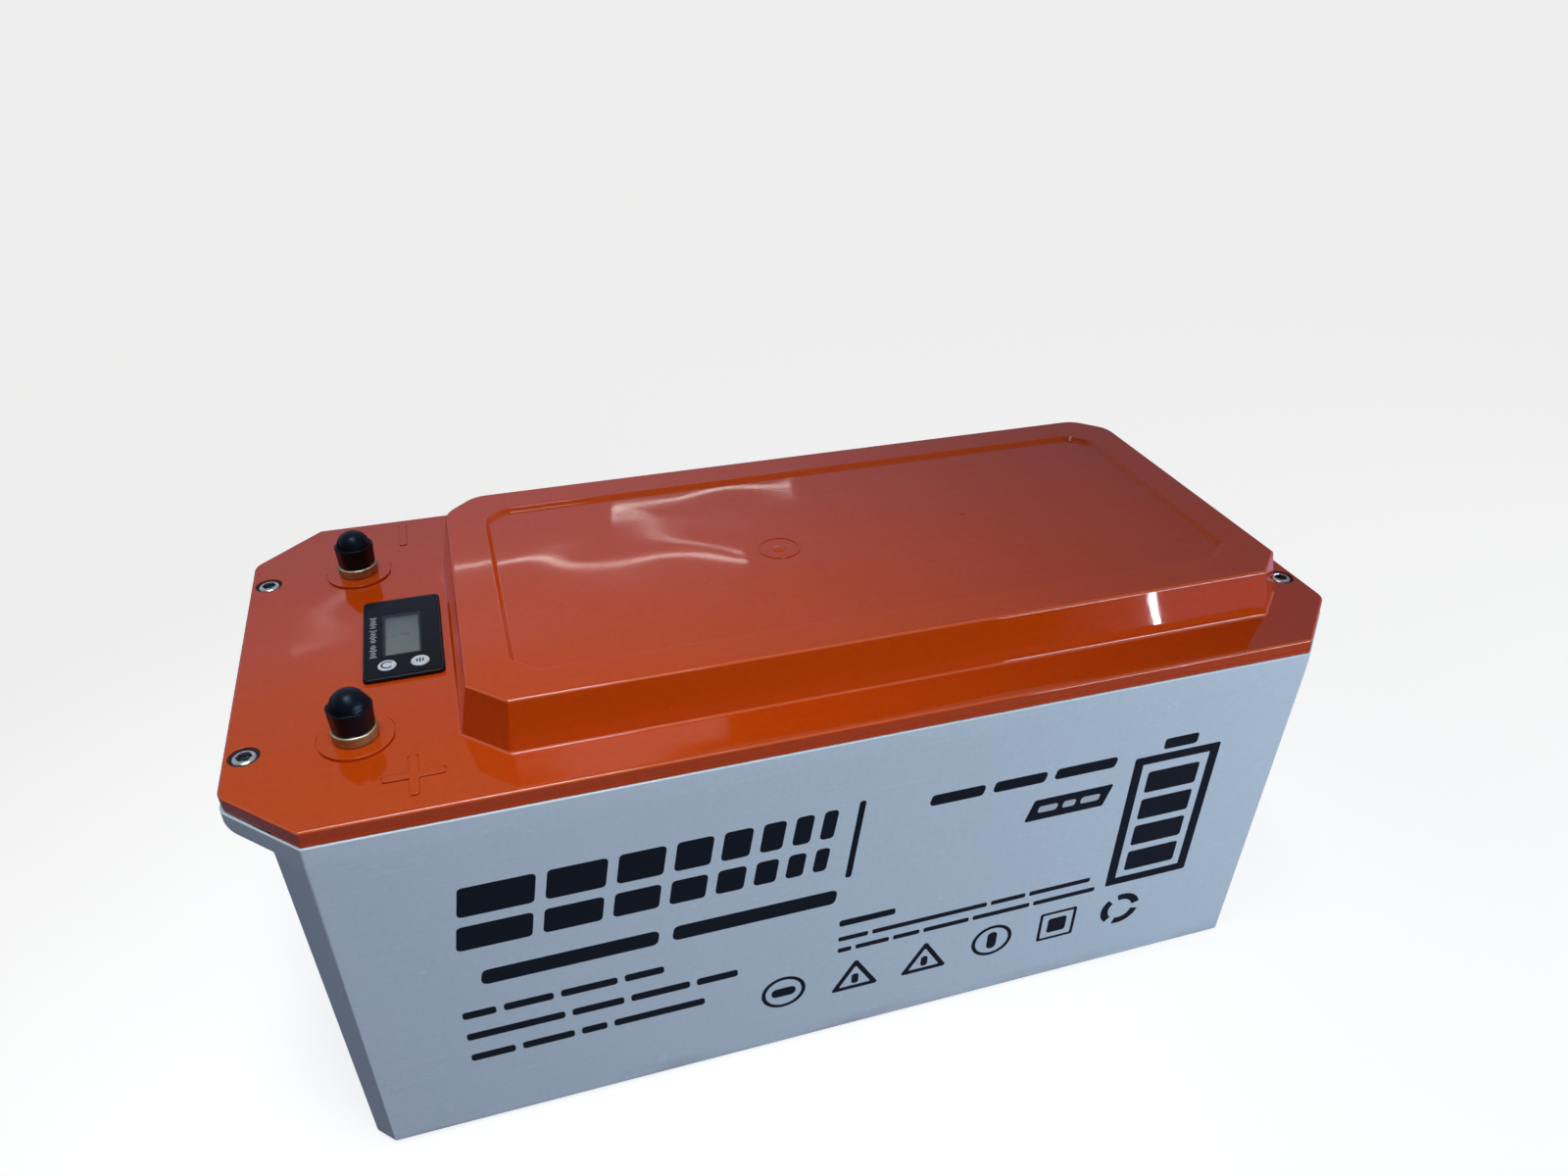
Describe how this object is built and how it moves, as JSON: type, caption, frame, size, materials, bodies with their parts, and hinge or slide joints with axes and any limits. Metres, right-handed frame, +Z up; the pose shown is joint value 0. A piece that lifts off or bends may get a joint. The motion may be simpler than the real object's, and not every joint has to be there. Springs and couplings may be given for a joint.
{
  "type": "deep cycle battery",
  "caption": "Screwed-lid lithium deep cycle battery with a domed lid, brass bolt terminals under push-on caps, a digital meter with keys and a strapped cell pack inside.",
  "frame": {"origin": "middle of the footprint, on the surface that the case stands on", "axes": "+X along the length, away from the terminals; +Y towards the long side with the negative terminal; +Z up"},
  "size_m": [0.5, 0.24, 0.2208],
  "materials": {
    "case_shell": "moulded white ABS, fine satin gloss",
    "lid_shell": "moulded orange-red ABS, high gloss",
    "seal_rubber": "black silicone rubber",
    "stainless": "stainless steel, satin",
    "brass": "turned brass, slightly dulled",
    "cap_plastic": "soft black polyethylene, satin",
    "meter_shell": "glossy black film over black ABS",
    "lcd_panel": "grey-green reflective display, switched off",
    "meter_window": "clear polycarbonate",
    "button_plastic": "white silicone keys",
    "circuit_board": "green solder mask on glass-fibre board",
    "cell_wrap": "blue shrink film over an aluminium can",
    "insulation_board": "pale yellow glass-fibre board",
    "aluminium": "mill finish",
    "strap": "green polyester strapping",
    "foam": "closed-cell dark grey foam",
    "cable_red": "red silicone insulation",
    "cable_black": "black silicone insulation"
  },
  "bodies": {
    "root": {"case_body": "case_shell", "lid": "lid_shell", "balance_lead": "cable_black", "bms_circuit_board": "circuit_board", "bms_heat_sink": "aluminium", "busbar_1": "aluminium", "busbar_2": "aluminium", "busbar_3": "aluminium", "cell_1": "cell_wrap", "cell_2": "cell_wrap", "cell_3": "cell_wrap", "cell_4": "cell_wrap", "cell_separator_1": "insulation_board", "cell_separator_2": "insulation_board", "cell_separator_3": "insulation_board", "end_plate_left": "insulation_board", "end_plate_right": "insulation_board", "floor_pad": "foam", "foam_block_left": "foam", "foam_block_right": "foam", "foam_strip_back": "foam", "foam_strip_front": "foam", "lid_gasket": "seal_rubber", "lid_screw_1": "stainless", "lid_screw_2": "stainless", "lid_screw_3": "stainless", "lid_screw_4": "stainless", "meter_circuit_board": "circuit_board", "meter_housing": "meter_shell", "meter_lcd": "lcd_panel", "meter_lead": "cable_red", "meter_window": "meter_window", "negative_lug_nut": "brass", "negative_terminal": "brass", "negative_terminal_bolt": "stainless", "negative_terminal_locknut": "brass", "negative_terminal_seal": "seal_rubber", "negative_terminal_washer": "stainless", "output_negative_cable": "cable_black", "pack_negative_cable": "cable_black", "pack_strap_lower": "strap", "pack_strap_upper": "strap", "positive_cable": "cable_red", "positive_lug_nut": "brass", "positive_terminal": "brass", "positive_terminal_bolt": "stainless", "positive_terminal_locknut": "brass", "positive_terminal_seal": "seal_rubber", "positive_terminal_washer": "stainless", "screw_insert_1": "brass", "screw_insert_2": "brass", "screw_insert_3": "brass", "screw_insert_4": "brass", "top_insulation_board": "insulation_board"},
    "positive_cap": {"positive_terminal_cap": "cap_plastic"},
    "negative_cap": {"negative_terminal_cap": "cap_plastic"},
    "select_button": {"meter_select_button": "button_plastic"},
    "set_button": {"meter_set_button": "button_plastic"}
  },
  "joints": [
    {"name": "positive_cap_pull", "type": "slide", "parent": "root", "child": "positive_cap", "axis": [0, 0, 1], "range_m": [0, 0.04]},
    {"name": "negative_cap_pull", "type": "slide", "parent": "root", "child": "negative_cap", "axis": [0, 0, 1], "range_m": [0, 0.04]},
    {"name": "select_button_press", "type": "slide", "parent": "root", "child": "select_button", "axis": [0, 0, -1], "range_m": [0, 0.0005], "stiffness_N_per_m": 400},
    {"name": "set_button_press", "type": "slide", "parent": "root", "child": "set_button", "axis": [0, 0, -1], "range_m": [0, 0.0005], "stiffness_N_per_m": 400}
  ]
}
